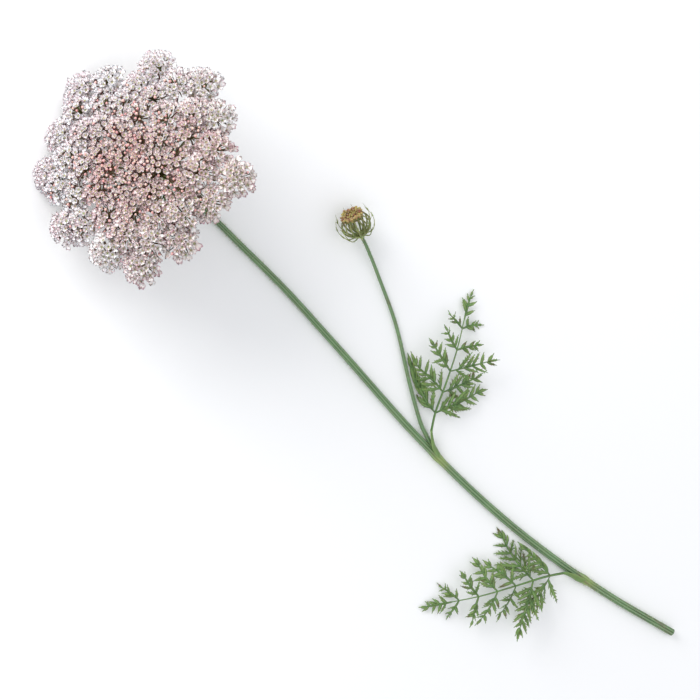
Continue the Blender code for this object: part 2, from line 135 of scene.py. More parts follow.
# Faces of closed tubes of rows by sides points each: quads between the rings, and one face on
# either end. Turned, they face the other way.
def skin(rows, sides, count=1, turned=False):
    r, c = np.arange(rows - 1)[:, None], np.arange(sides)[None]
    a, b = r * sides + c, r * sides + (c + 1) % sides
    quads = np.stack([a, b, b + sides, a + sides], -1).reshape(-1, 4)
    foot, end = np.arange(sides)[None, ::-1], (rows - 1) * sides + np.arange(sides)[None]
    step = np.arange(count)[:, None, None] * rows * sides
    faceSets = [(step + f[None]).reshape(-1, f.shape[1]) for f in (quads, foot, end)]
    return [f[:, ::-1] for f in faceSets] if turned else faceSets


# Round tubes: each point of a path plus its radius times a circle square to the path.
# Gives points, faces and each point's share along its tube.
def tubes(paths, radii, sides):
    count, rows = paths.shape[:2]
    side, up = sideOf(along(paths))
    ring = around(circle(sides)[0], up[:, :, None], side[:, :, None])
    points = paths[:, :, None] + np.broadcast_to(radii, (count, rows))[..., None, None] * ring
    share = np.broadcast_to(steps(rows), points.shape[:3])
    return points.reshape(-1, 3), skin(rows, sides, count), share.ravel()


# A round shape from rows of height and radius. Creases ripple its radius by a cosine.
def lathe(rows, sides, wide=1.0, high=1.0, creases=0, depth=0.0):
    turn, ring = circle(sides)
    ring = ring * (wide * (1 + depth * np.cos(creases * turn)))[:, None]
    return np.concatenate([r * ring + h * high * upright for h, r in rows]), skin(len(rows), sides)


# Copies of a small shape: its points times each copy's three axes, plus the copy's place.
def stamp(points, faceSets, places, axes):
    many = places[:, None] + np.einsum("pk,nkj->npj", points, axes)
    step = np.arange(len(places))[:, None, None] * len(points)
    return many.reshape(-1, 3), [(step + f[None]).reshape(-1, f.shape[1]) for f in faceSets]


# Copies whose third axis faces each direction.
def stampFacing(points, faceSets, places, facing, scale=1.0):
    side, up = sideOf(facing)
    return stamp(points, faceSets, places, np.stack([side, -up, facing], 1) * scale)


# One set of points and faces from several.
def gather(pieces):
    points, faceSets, start = [], [], 0
    for p, f in pieces:
        points.append(p)
        faceSets.extend(s + start for s in f)
        start += len(p)
    return np.concatenate(points), faceSets


# Adds an object to the scene.
def addObject(name, data):
    made = bpy.data.objects.new(name, data)
    bpy.context.scene.collection.objects.link(made)
    return made


# Puts points in the flower's frame, in mm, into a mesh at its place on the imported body.
def addMesh(name, points, faceSets, material, node, marks=None):
    mesh = bpy.data.meshes.new(name)
    faces = [row for s in faceSets for row in s.tolist()]
    mesh.from_pydata(((points - middle) * mm).tolist(), [], faces)
    for markName, values in (marks or {}).items():
        layer = mesh.attributes.new(markName, "FLOAT", "POINT")
        layer.data.foreach_set("value", np.asarray(values, np.float32))
    mesh.polygons.foreach_set("use_smooth", np.ones(len(faces), bool))
    mesh.materials.append(bpy.data.materials[material])
    made = addObject(name, mesh)
    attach(made, "root")
    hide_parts(node)
    print(name, len(faces), "faces")


# The linear colour of an sRGB hex code: a channel c up to 0.04045 is c / 12.92, and a higher one
# is ((c + 0.055) / 1.055) to the power 2.4.
def colour(hexCode):
    parts = [int(hexCode[i : i + 2], 16) / 255 for i in (1, 3, 5)]
    return (*[c / 12.92 if c <= 0.04045 else ((c + 0.055) / 1.055) ** 2.4 for c in parts], 1.0)


# Adds one node with its settings. Each input takes a value, or an output that is linked to it.
def addNode(material, kind, inputs=None, **settings):
    tree = material.node_tree
    added = tree.nodes.new(kind)
    for key, value in settings.items():
        setattr(added, key, value)
    for key, value in (inputs or {}).items():
        if isinstance(value, bpy.types.NodeSocket):
            tree.links.new(value, added.inputs[key])
        else:
            added.inputs[key].default_value = value
    return added


# Fresh petals, a few layers of wet cells under a waxy skin: matt and soft, with no hard gloss,
# and light that enters comes out a little beside. Wet tissue has an IOR near 1.42. The veins of
# a real petal are about 0.1 mm apart, and are drawn at 0.2 mm so that they show.
petalLook = {
    "main": "#FEFBFD",  # open florets of the rim, where the flower is whitest
    "marks": {
        "warm": "#FFFBF2",  # the same on the side that is still creamy
        "blush": "#F6D4CD",  # florets of the middle
        # The pink on the petals' undersides is partly painted shade: it darkens the undersides,
        # which lie away from the light.
        "edge": "#DC8FA8",  # margins and undersides of the pinkest petals
        "claw": "#B2B466",  # where a petal meets the disc
    },
    "veins": 14.0,  # ripple over half of a petal's width, in radians
    "relief": (0.35, 0.03),  # strength and depth
    "glow": (1.0, 0.7, 0.6),  # how far red, green and blue light spread, over the glow's reach
    "finish": (0.6, 1.42, 0.3, 0.6),  # roughness, IOR, share of the glow and its reach
}

# Thin green stalks of fresh tissue, smooth and a little waxy, so softly shiny. Wine red flushes
# them where the mark says, as it does a plant that stood in full sun. On the open umbel's rays and
# pedicels it is partly painted shade: made darkest in the middle of the head, it darkens the gaps
# between the florets.
stalkLook = {
    "main": "#6C7B42",
    "patches": ("#AAB877", 6.0, 0.35, 0.7),  # how far apart they lie, and their soft edge
    "marks": {"wine": "#6C1F3D"},
    "finish": (0.5, 1.42, 0.15, 0.8),
}

# A herb's hollow stem: pale ribs over green furrows under a thin waxy skin, which gives it a
# satin line of light on each rib. Wine red streaks run along it, about 1 mm wide and 40 mm long.
# The skin's cells are about 0.05 mm, and the grain is drawn at 0.5 mm so that it shows.
stemLook = {
    "main": "#3F5D37", "patches": ("#587A4B", 9.0, 0.35, 0.65),
    "marks": {
        "rib": "#8DA97F",  # the raised ribs
        "young": "#A3B562",  # at the nodes and the neck
        "wine": "#6E4448",  # streaks at the foot and the head
    },
    "streaks": (25.0, 900.0, 900.0),  # a metre, along the stem and across it
    "streakEdge": (0.55, 0.7, 0.55),  # where noise starts and fills a streak, and its share then
    "grain": 0.5, "relief": (0.5, 0.05),
    "finish": (0.48, 1.45, 0.1, 1.0),
}

# A thin fresh leaf under a waxy skin: satin, mottled green, paler along the veins and at the
# tips. Its cells are too fine to show, so the grain is drawn at 0.6 mm.
leafLook = {
    "main": "#375B2E", "patches": ("#58803F", 4.0, 0.3, 0.7),
    "marks": {
        "tip": "#9DB66A",  # towards the tips, where a leaf is youngest
        "vein": "#96B072",
        "brown": "#5E4038",  # tips that have begun to wither
    },
    "grain": 0.6, "relief": (0.5, 0.04),
    "finish": (0.45, 1.45, 0.15, 0.8),
}

# Small parts of wet plant tissue with soft patches, which glow a little where they are thin.
# Each has its colour, that of its patches, how far apart they lie, and a roughness that is lower
# where the real one is wet with nectar or waxy.
tissueLooks = {
    # The ovaries are brown and wine red, darker than a green ovary: partly painted shade in the
    # gaps between the florets.
    "greenOvary": ("#85664F", "#762C47", 2.5, 0.5),
    "nectarDisc": ("#C6CA7A", "#D9C6A0", 1.5, 0.35),
    "stamenThread": ("#F6EDE0", "#EACED0", 2.0, 0.5),
    "anther": ("#CC92A0", "#EEDCCA", 1.6, 0.6),
    "pinkBud": ("#D89F9F", "#E8CFBE", 1.2, 0.5),
    "youngBud": ("#B5A866", "#8F5A50", 1.8, 0.5),
    "stemFlesh": ("#C9D3A6", "#9DB27C", 0.6, 0.45),
    "stiffHair": ("#D5DBC3", "#B9C4A2", 2.0, 0.6),
}


# A finish from its look. Noise blends the patches over the main colour, then each mark blends
# its own colour over that by its share. The relief is a sine across a petal, or fine noise.
def finishMaterial(name, look):
    made = bpy.data.materials.new(name)
    made.use_nodes = True
    made.node_tree.nodes.clear()
    layers = []
    if "patches" in look:
        spot = addNode(made, "ShaderNodeTexCoord").outputs["Object"]
        tone, apart, low, high = look["patches"]
        cloud = addNode(made, "ShaderNodeTexNoise", {
            "Vector": spot, "Scale": 1 / (apart * mm), "Detail": 3.0})
        share = addNode(made, "ShaderNodeMapRange", {
            "Value": cloud.outputs["Fac"], "From Min": low, "From Max": high})
        layers.append((share.outputs[0], tone))
    for mark, tone in look.get("marks", {}).items():
        share = addNode(made, "ShaderNodeAttribute", attribute_name=mark).outputs["Fac"]
        if mark == "wine" and "streaks" in look:
            drawn = addNode(made, "ShaderNodeMapping", {"Vector": spot, "Scale": look["streaks"]})
            lines = addNode(made, "ShaderNodeTexNoise", {
                "Vector": drawn.outputs[0], "Scale": 1.0, "Detail": 2.0})
            low, high, most = look["streakEdge"]
            streak = addNode(made, "ShaderNodeMapRange", {
                "Value": lines.outputs["Fac"], "From Min": low, "From Max": high, "To Max": most})
            product = {0: streak.outputs[0], 1: share}
            share = addNode(made, "ShaderNodeMath", product, operation="MULTIPLY").outputs[0]
        layers.append((share, tone))
    shade = colour(look["main"])
    for share, tone in layers:
        blend = {0: share, 6: shade, 7: colour(tone)}
        shade = addNode(made, "ShaderNodeMix", blend, data_type="RGBA").outputs[2]
    roughness, ior, glow, reach = look["finish"]
    finish = {
        "Base Color": shade, "Roughness": roughness, "IOR": ior, "Subsurface Weight": glow,
        "Subsurface Scale": reach * mm, "Subsurface Radius": look.get("glow", (1.0, 0.2, 0.1))}
    if "veins" in look:
        across = addNode(made, "ShaderNodeAttribute", attribute_name="across").outputs["Fac"]
        turns = addNode(made, "ShaderNodeMath", {0: across, 1: look["veins"]}, operation="MULTIPLY")
        height = addNode(made, "ShaderNodeMath", {0: turns.outputs[0]}, operation="SINE").outputs[0]
    elif "grain" in look:
        height = addNode(made, "ShaderNodeTexNoise", {
            "Vector": spot, "Scale": 1 / (look["grain"] * mm), "Detail": 3.0}).outputs["Fac"]
    if "relief" in look:
        strength, depth = look["relief"]
        relief = addNode(made, "ShaderNodeBump", {
            "Height": height, "Strength": strength, "Distance": depth * mm})
        finish["Normal"] = relief.outputs[0]
    shader = addNode(made, "ShaderNodeBsdfPrincipled", finish)
    addNode(made, "ShaderNodeOutputMaterial", {"Surface": shader.outputs[0]})
    return made


finishMaterial("freshPetal", petalLook)
finishMaterial("freshStalk", stalkLook)
finishMaterial("herbStem", stemLook)
finishMaterial("fernyLeaf", leafLook)
for tissue, (main, patches, apart, roughness) in tissueLooks.items():
    patches = (patches, apart, 0.4, 0.65)
    finish = (roughness, 1.42, 0.2, 0.5)
    finishMaterial(tissue, {"main": main, "patches": patches, "finish": finish})
print(len(bpy.data.materials), "materials")


umbelSize = {
    "tilt": 45.0, "turn": 20.0, "spin": 32.25,  # degrees, as the solid head lies
    "hub": (-126.0, -3.0, 20.057), "hubRadius": 4.0, "hubHeight": 2.6,
    "rays": 52, "spiral": 137.508,  # degrees from one ray to the next
    "reach": 42.0, "crown": 25.0, "rimDrop": 9.0, "rimLean": 24.0,
    "crowding": 0.6, "fullness": (1.06, 1.3),
    "rayBow": 0.24, "rayRadius": (0.5, 0.34), "raySteps": 16,
    # The rays' wine red is partly painted shade: strongest in the middle of the head, where it
    # darkens the gaps between florets.
    "rayWineAndShade": (1.1, 0.7),  # how wine red a ray's end is in the middle, and at the rim
    "pressed": 1.5,  # height below which the head is pressed flat on the surface
}
umbelAxes = facingAxes(umbelSize["tilt"], umbelSize["turn"], umbelSize["spin"])
umbelHub = np.array(umbelSize["hub"])


# Into the flower's frame. A height h under the pressed one p becomes p exp((h - p) / p).
def toFlower(points, hub=umbelHub, axes=umbelAxes):
    placed = hub + points @ axes
    pressed = umbelSize["pressed"]
    low = placed[:, 2] < pressed
    placed[low, 2] = pressed * np.exp((placed[low, 2] - pressed) / pressed)
    return placed


# Ends, axes, radii and rim shares of the small umbels, on a golden angle spiral.
# The reach of ray k grows as its share of all rays to the power of the crowding.
def rayPlan():
    size = umbelSize
    crowding = size["crowding"]
    k = np.arange(size["rays"])
    share = (k + 0.5) / len(k)
    rim = share**crowding
    bearing = np.radians(k * size["spiral"] + 5 * wobble(k, 1))
    outward, _ = spoke(bearing)
    uneven = 1 + 0.03 * wobble(k, 2) + 0.035 * rim * np.cos(3 * bearing + 0.6)
    height = size["crown"] - size["rimDrop"] * rim**2 + 1.1 * wobble(k, 3)
    lean = math.radians(size["rimLean"]) * rim + 0.07 * wobble(k, 4)
    half = size["reach"] * math.sqrt(2 * crowding / len(k)) * share ** (crowding - 0.5)
    ends = (size["reach"] * rim * uneven)[:, None] * outward + height[:, None] * upright
    return ends, around(lean, upright, outward), lerp(*size["fullness"], rim) * half, rim


rayEnds, rayAxes, rayRadii, rayRims = rayPlan()


# Rays: a quadratic curve from inside the hub to each small umbel, thinner outwards.
def buildRays():
    size = umbelSize
    count = size["raySteps"]
    length = np.linalg.norm(rayEnds, axis=1, keepdims=True)
    start = 0.4 * size["hubRadius"] * rayEnds / length
    paths = arcs(start, rayEnds - size["rayBow"] * length * rayAxes, rayEnds, count)
    paths += np.sin(steps(count) * math.pi) * 0.5 * rng.uniform(-1, 1, (len(rayEnds), 1, 3))
    points, faces, share = tubes(paths, np.linspace(*size["rayRadius"], count), 8)
    # Wine red and painted shade: the flush is strongest in the middle of the head, darkening the
    # gaps between the florets.
    flushAndShade = lerp(*size["rayWineAndShade"], np.repeat(rayRims, len(points) // len(rayRims)))
    both, faceSets = gather([(points, faces), hubShape()])
    wine = np.concatenate([0.25 + flushAndShade * share**1.5, np.zeros(len(both) - len(points))])
    addUmbel("rays", both, faceSets, "freshStalk", {"wine": wine})


# The hub: a flattened ball, radius times sine and height times cosine of the polar angle.
def hubShape():
    rows, sides = 14, 28
    polar = np.linspace(0.02, math.pi - 0.02, rows)[:, None]
    turn, ring = circle(sides)
    ripple = 1 + 0.03 * np.sin(9 * turn) * np.sin(polar)
    radius = umbelSize["hubRadius"] * 0.86 * np.sin(polar) * ripple
    points = radius[..., None] * ring + umbelSize["hubHeight"] * np.cos(polar)[..., None] * upright
    return points.reshape(-1, 3), skin(rows, sides, turned=True)


# A piece of the open umbel, in its own frame.
def addUmbel(name, points, faces, material, marks=None):
    addMesh(name, toFlower(points), faces, material, "umbel", marks)


floretSize = {  # pairs are for the middle of the flower and its rim
    "count": (31, 30),  # florets of a small umbel
    "fuller": (1.24, 0.88),  # radius over the solid one's
    "spread": 80.0,  # degrees from the small umbel's axis to its outermost florets
    "reach": 0.9,  # length of the outer pedicels over the small umbel's radius
    "petals": 5, "petal": (1.16, 2.15),  # how many, and their length
    "slender": (1.0, 0.84),  # width over length
    "outerPetal": 1.35,  # how much longer a petal grows that points out of the umbel
    "pinkness": (0.62, 0.5),  # how pink the margins are on average
    "rosySide": 0.6,  # how much pinker the side towards the stem is than the other
    "sunSide": (0.95, 0.25, 0.0),  # where it is creamier and rosier: towards the stem
    "cup": 0.75,  # how steeply the short petals rise
    "closed": (0.55, 0.015),  # share still in bud
    "tintSpread": 0.14,  # how much the small umbels differ in colour
    "pieces": {"petalsMiddle": (0, 0.55), "petalsRing": (0.55, 0.82), "petalsRim": (0.82, 2)},
}


# Florets on a golden angle spiral over each small umbel's dome. Gives their feet and places,
# their facing and outward directions, their umbel's axis, share, rim share, radius and number.
def floretPlan():
    size = floretSize
    found = []
    for j, (end, axis, radius, rim) in enumerate(zip(rayEnds, rayAxes, rayRadii, rayRims)):
        count = round(lerp(*size["count"], rim))
        radius = radius * lerp(*size["fuller"], rim)
        k = np.arange(count)
        share = (k + 0.5) / count
        bearing = k * goldenAngle + j * 1.7 + rng.uniform(-0.18, 0.18, count)
        polar = math.radians(size["spread"]) * share**0.56 + rng.uniform(-0.05, 0.05, count)
        flat = around(bearing, *sideOf(axis))
        dome = 0.66 + 0.34 * np.sin(polar)
        reach = size["reach"] * radius * dome * rng.uniform(0.93, 1.05, count)
        direction = around(polar, axis, flat)
        facing = unit(direction * 0.75 + axis * 0.75 + rng.normal(0, 0.1, (count, 3)))
        found.append((
            np.tile(end, (count, 1)), end + reach[:, None] * direction, facing, flat,
            np.tile(axis, (count, 1)), share, *(np.full(count, v) for v in (rim, radius, j))))
    return [np.concatenate(column) for column in zip(*found)]


(feet, heads, facings, outs, smallAxes,
 floretShare, floretRim, floretRadius, floretUmbel) = floretPlan()
floretSide, floretUp = sideOf(facings)
umbelOut = unit(feet * (1, 1, 0))
sunSide = np.array(floretSize["sunSide"]) @ umbelAxes.T
warmth = smooth(0.5 + 0.6 * (feet @ sunSide) / umbelSize["reach"])
budShare = floretSize["closed"][0] * (1 - floretRim) * (1.25 - floretShare)
budShare = budShare + floretSize["closed"][1]
isBud = rng.uniform(0, 1, len(heads)) < budShare
umbelTint = rng.normal(0, floretSize["tintSpread"], len(rayEnds))
opened, closed = np.flatnonzero(~isBud), np.flatnonzero(isBud)
print(len(rayEnds), "small umbels,", len(opened), "open and", len(closed), "closed florets")


# A closed petal with two shells that share their rim.
# u runs from -1 to 1 across it and t from 0 to 1 along it. Its half width is
# 0.16 + 0.84 sin(min(t / 0.72, 1) 90 degrees) of the widest, its tip is notched at u = 0 and
# turned in there, and the shell sinks by a sine along it and rises by u squared at its sides.
def petalGrid(acrossCount, alongCount):
    u, t = np.meshgrid(np.linspace(-1, 1, acrossCount), np.linspace(0, 1, alongCount))
    widest = 0.72
    half = 0.16 + 0.84 * np.sin(np.minimum(t / widest, 1) * math.pi / 2)
    half = half * np.where(t > widest, 1 - 0.35 * ((t - widest) / (1 - widest)) ** 2, 1)
    turnedIn = t**4 * (1 - np.abs(u))
    notch = 1 - 0.26 * turnedIn - 0.12 * t**2 * u**2
    lift = -0.12 * np.sin(t * math.pi) + 0.16 * u**2 * t + 0.22 * turnedIn
    top = np.stack([half * u * 0.5, t * notch, lift], -1)
    thick = 0.012 + 0.035 * np.sqrt(np.maximum(1 - u**2, 0)) * np.sin(t * math.pi)
    under = top - thick[..., None] * upright
    inside = np.zeros_like(u, bool)
    inside[1:-1, 1:-1] = True
    number = np.arange(u.size).reshape(u.shape)
    below = number.copy()
    below[inside] = u.size + np.arange(inside.sum())
    quads = [
        np.stack([n[:-1, :-1], n[:-1, 1:], n[1:, 1:], n[1:, :-1]], -1).reshape(-1, 4)
        for n in (number, below)]
    marks = [np.concatenate([mark.ravel(), mark[inside]]) for mark in (u, t)]
    points = np.concatenate([top.reshape(-1, 3), under[inside]])
    return points, [quads[0], quads[1][:, ::-1]], *marks, np.arange(len(points)) >= u.size


# Five petals round each open floret, longer where they point out of the umbel. A petal's lift
# over the floret's face falls as it grows, and its colours follow the rim share.
def buildPetals():
    size = floretSize
    shape, faces, u, t, isUnder = petalGrid(5, 4)
    # The margin pink is raised on the undersides, partly as painted shade that darkens them.
    margin = np.clip(np.abs(u) ** 3 + t**3 - 0.4 + 0.5 * isUnder, 0, 1)
    firstTurn = rng.uniform(0, fullTurn, len(heads))
    for name, (low, high) in size["pieces"].items():
        chosen = opened[(floretRim[opened] >= low) & (floretRim[opened] < high)]
        rim, share, face = floretRim[chosen], floretShare[chosen], facings[chosen]
        rosier = umbelTint[floretUmbel[chosen]] + size["rosySide"] * (warmth[chosen] - 0.5)
        away = unit(outs[chosen] * 0.7 + umbelOut[chosen] * rim[:, None])
        places, axes, blush, edge = [], [], [], []
        for k in range(size["petals"]):
            turn = firstTurn[chosen] + k * fullTurn / size["petals"]
            ahead = around(turn, floretSide[chosen], floretUp[chosen])
            outward = np.clip(np.einsum("ij,ij->i", ahead, away), 0, 1)
            grow = outward**2 * smooth((share - 0.35) / 0.4) * (0.3 + 0.7 * rim)
            length = lerp(*size["petal"], rim) * rng.uniform(0.88, 1.1, len(chosen))
            length = length * (1 + size["outerPetal"] * grow)
            rise = size["cup"] * (1 - np.clip(1.6 * grow, 0, 0.85))
            rise = rise + rng.uniform(-0.2, 0.2, len(chosen))
            ahead = unit(ahead + rise[:, None] * face)
            across = unit(np.cross(ahead, face))
            width = length * lerp(*size["slender"], rim) * rng.uniform(0.86, 1.08, len(chosen))
            scale = np.stack([width, length, length], 1)[..., None]
            axes.append(scale * np.stack([across, ahead, np.cross(across, ahead)], 1))
            places.append(heads[chosen] + 0.18 * ahead + 0.1 * face)
            rosy = 1.1 - 1.15 * rim - 0.1 * share + rosier + rng.normal(0, 0.12, len(chosen))
            pink = rng.normal(lerp(*size["pinkness"], rim), 0.28) + rosier
            blush.append(np.clip(rosy, 0, 1))
            edge.append(np.clip(pink, 0, 1))
        points, faceSets = stamp(shape, faces, np.concatenate(places), np.concatenate(axes))
        many = len(points) // len(shape)
        marks = {
            "blush": np.repeat(np.concatenate(blush), len(shape)),
            "edge": np.outer(np.concatenate(edge), margin).ravel(),
            "claw": np.tile(0.75 * smooth(1 - t / 0.3), many),
            "across": np.tile(u, many),
            "warm": np.repeat(np.tile(warmth[chosen], size["petals"]), len(shape)),
        }
        addUmbel(name, points, faceSets, "freshPetal", marks)


pedicelSize = {
    "radii": (0.2, 0.17, 0.16, 0.18, 0.3),
    # Partly painted shade: the pedicels are darkest wine red in the middle of the head, which
    # darkens the gaps between florets.
    "wine": (1.3, 0.35),  # how wine red they are in the middle, and at the rim
    "ovary": ((0.0, 0.17), (0.25, 0.42), (0.6, 0.5), (0.88, 0.42), (1.0, 0.3)),  # height and radius
    "ovaryHeight": 0.85,
}


# Thin stalks from the end of each ray to its florets, bowed outwards, with an ovary on top.
def buildPedicels():
    size = pedicelSize
    bow = feet + 0.55 * (heads - feet) - 0.09 * floretRadius[:, None] * smallAxes
    paths = arcs(feet, bow, heads - 0.15 * facings, len(size["radii"]))
    points, faces, share = tubes(paths, size["radii"], 5)
    # The flush is partly painted shade, darker in the middle of the head, for the gaps between
    # florets.
    flushAndShade = np.clip(rng.normal(lerp(*size["wine"], floretRim), 0.18), 0, 1)
    wine = np.repeat(flushAndShade, len(points) // len(flushAndShade)) * (0.5 + 0.5 * share)
    addUmbel("pedicels", points, faces, "freshStalk", {"wine": wine})
    # Ovaries in dark brown and wine red, partly painted shade between the florets.
    ovary = lathe(size["ovary"], 7, high=size["ovaryHeight"])
    addUmbel("ovaries", *stampFacing(*ovary, heads - 0.75 * facings, facings), "greenOvary")


# The two-lobed nectar disc of each floret: rings of radius and height, the upper two with two
# humps, each as high as the cosine of the angle.
def buildHearts():
    turn, ring = circle(8)
    ring = ring * (1, 0.8, 1)
    hump = 0.12 * np.abs(np.cos(turn))[:, None] * upright
    shape = np.concatenate([
        0.3 * ring, 0.26 * ring + 0.14 * upright + hump, 0.09 * ring + 0.2 * upright + hump])
    places = (heads + 0.06 * facings)[opened]
    discs = stampFacing(shape, skin(3, len(ring)), places, facings[opened])
    addUmbel("nectarDiscs", *discs, "nectarDisc")


stamenSize = {
    "count": 5,
    "reach": (0.75, 1.15),  # out from a floret in the middle, and at the rim
    "rise": (0.55, 1.0), "radius": 0.055,
    "anther": (0.2, 0.15, 0.12),  # half its length, width and height
}


# Threads between the petals of each open floret, bowed by a sine, each with a pale pink anther
# of eight faces.
def buildStamens():
    size = stamenSize
    face, many = facings[opened], len(opened)
    starts, tips = [], []
    for k in range(size["count"]):
        turn = k * fullTurn / size["count"] + rng.uniform(0, 6.28, many)
        flat = around(turn, floretSide[opened], floretUp[opened])
        reach = lerp(*size["reach"], floretRim[opened])[:, None] * rng.uniform(0.8, 1.15, (many, 1))
        starts.append(heads[opened] + 0.2 * flat + 0.1 * face)
        rise = rng.uniform(*size["rise"], (many, 1))
        tips.append(heads[opened] + reach * flat + rise * face)
    starts, tips = np.concatenate(starts), np.concatenate(tips)
    normal = np.tile(face, (size["count"], 1))
    t = steps(3)
    paths = lerp(starts[:, None], tips[:, None], t) + np.sin(t * math.pi) * 0.2 * normal[:, None]
    addUmbel("stamens", *tubes(paths, size["radius"], 3)[:2], "stamenThread")
    a, b, c = size["anther"]
    shape = np.array([(a, 0, 0), (0, b, 0), (-a, 0, 0), (0, -b, 0), (0, 0, c), (0, 0, -c)])
    faces = [(k, (k + 1) % 4, 4) for k in range(4)] + [((k + 1) % 4, k, 5) for k in range(4)]
    addUmbel("anthers", *stampFacing(shape, [np.array(faces)], tips, normal), "anther")


budSize = {
    "rows": ((0.0, 0.12), (0.12, 0.42), (0.4, 0.52), (0.7, 0.4), (0.86, 0.12)),  # height, radius
    "scale": (0.95, 1.35),
}
bud = lathe(budSize["rows"], 10, creases=5, depth=0.12)


# Closed florets among the open ones: round pink buds with five furrows.
def buildBuds():
    scale = rng.uniform(*budSize["scale"], len(closed))[:, None, None]
    addUmbel("closedFlorets", *stampFacing(*bud, heads[closed], facings[closed], scale), "pinkBud")


bracteoleSize = {"count": 9, "length": (0.7, 1.0), "radii": (0.2, 0.3, 0.3, 0.2, 0.03)}


# Narrow green bracteoles under each small umbel, spread below its pedicels. Each goes out along a
# line and rises by the square of its share.
def buildBracteoles():
    size = bracteoleSize
    t = steps(len(size["radii"]))
    paths = []
    for j, (end, axis, radius) in enumerate(zip(rayEnds, rayAxes, rayRadii)):
        for k in range(size["count"]):
            flat = around(k * fullTurn / size["count"] + j, *sideOf(axis))
            length = radius * rng.uniform(*size["length"])
            paths.append(end + 0.3 * flat + length * (t * flat + (0.4 * t**2 + 0.05 * t) * axis))
    points, faces, share = tubes(np.array(paths), size["radii"], 4)
    addUmbel("bracteoles", points, faces, "freshStalk", {"wine": 0.35 + 0.5 * share})


bractSize = {
    "count": 8, "length": 24.0, "lift": 5.0, "gap": 0.3, "steps": 12,
    "ribRadius": (0.62, 0.1), "threadRadius": (0.34, 0.05),
    "fork": 30.0, "forkEvery": 11.0,  # degrees to the side threads, and mm between them
    "discRadius": 2.3, "discHeight": 1.5,
    "disc": ((-0.5, 0.55), (-0.42, 0.72), (0.1, 0.84), (0.4, 0.98), (0.5, 0.9)),  # height, radius
}


# Bracts cut into threads round a disc: tapering tubes, bowed by a sine, with side threads that
# bend by the square of their share.
def buildInvolucre():
    size = bractSize
    hub = umbelHub - (umbelSize["hubHeight"] + size["gap"] + size["discHeight"] / 2) * umbelAxes[2]
    foot, fork = 0.4 * size["discRadius"], math.radians(size["fork"])
    t = steps(size["steps"])
    paths, thick = [], []
    for k in range(size["count"]):
        outward, aside = spoke(fullTurn * (k + 0.2 * wobble(k, 5)) / size["count"])
        outward = outward + math.tan(math.radians(size["lift"] + 4 * wobble(k, 7))) * upright
        length = size["length"] * (1 + 0.08 * wobble(k, 6))
        curl = 0.6 * wobble(k, 8) * aside
        paths.append((foot + t * length) * outward + np.sin(t * math.pi) * curl)
        thick.append(lerp(*size["ribRadius"], t[:, 0]))
        pairs = max(1, round(length / size["forkEvery"]))
        for i in range(pairs):
            start = (i + 0.9) / (pairs + 0.8)
            reach = length * 0.34 * (1 - 0.7 * start**1.3)
            root = (foot + start * length) * outward + math.sin(start * math.pi) * curl
            for hand in (-1, 1):
                ahead = math.cos(fork) * outward + hand * math.sin(fork) * aside
                bow = 0.12 * (outward - hand * 0.6 * aside) + 0.1 * upright
                paths.append(root + reach * (t * ahead + t**2 * bow))
                thick.append(lerp(*size["threadRadius"], t[:, 0]))
    points, faces, share = tubes(np.array(paths), np.array(thick), 6)
    disc = lathe(size["disc"], 24, size["discRadius"], size["discHeight"])
    both, faceSets = gather([(points, faces), disc])
    tip = np.concatenate([share * 0.6, np.zeros(len(disc[0]))])
    marks = {"tip": tip, "vein": tip * 0, "brown": 0.5 * tip**3}
    addMesh("bracts", toFlower(both, hub), faceSets, "fernyLeaf", "involucre", marks)


stemSize = {
    "rows": (  # centre and radius
        (216.0, 12.0, 1.75, 1.75), (178.0, 4.0, 1.7, 1.7), (138.0, -2.0, 1.75, 1.7),
        (96.0, -5.0, 1.95, 1.65), (46.0, -4.5, 2.1, 1.6), (0.0, -1.0, 1.9, 1.5),
        (-42.0, 2.0, 1.55, 1.4), (-72.0, 2.6, 1.4, 1.35), (-92.0, 2.9, 1.5, 1.3),
        (-105.5, 2.6, 3.9, 1.25),
    ),
    "neckRadius": 1.15, "neckRun": 9.0, "nodes": (160.0, 62.0), "swell": 0.22, "swellLength": 3.0,
    "ribs": 8, "ribDepth": 0.1, "ripple": 0.012, "twist": 0.25,
    "stations": 620, "sides": 64, "cutSides": 40, "hairs": 1700, "hairLength": (0.5, 1.3),
    "cutRings": (  # radius over the stem's, and how far the cut face stands out there
        (0.9, -0.4), (0.9, 0.02), (0.8, 0.07), (0.55, 0.06), (0.42, 0.02), (0.34, -0.12),
        (0.1, -0.3)),
}


# Centre and radius along the stem: the same curve as the solid stem, read more finely.
def stemRows(count):
    size = stemSize
    out, radius = umbelAxes[2], size["neckRadius"]
    top = umbelHub - (umbelSize["hubHeight"] + bractSize["discHeight"] + 2 * bractSize["gap"]) * out
    neck = (*(top - size["neckRun"] * out), 1.04 * radius)
    found = route([*size["rows"], neck, (*top, radius)], count)
    for at in size["nodes"]:
        away = (found[:, 0] - at) / size["swellLength"]
        found[:, 3] *= 1 + size["swell"] * np.exp(-(away**2))
    found[:, 2] = np.maximum(found[:, 2], found[:, 3])
    return found


# A ribbed tube from rows of centre and radius: radius times a circle whose ribs are rounded and
# whose furrows are narrow. Gives points, how high the rib is at each angle, and the share along.
def ribbed(rows, sides, ribs, depth, ripple=0.0, twist=0.0):
    side, up = sideOf(along(rows[:, :3]))
    turn, _ = circle(sides)
    run = steps(len(rows))
    rib = np.abs(np.sin(ribs * turn / 2)) ** 0.6
    radius = rows[:, 3:] * (1 - depth * (1 - rib)) * (1 + ripple * np.sin(run * 90 + 3 * turn))
    ring = around(turn + twist * np.sin(run * 5.0), up[:, None], side[:, None])
    return rows[:, None, :3] + radius[..., None] * ring, rib, run


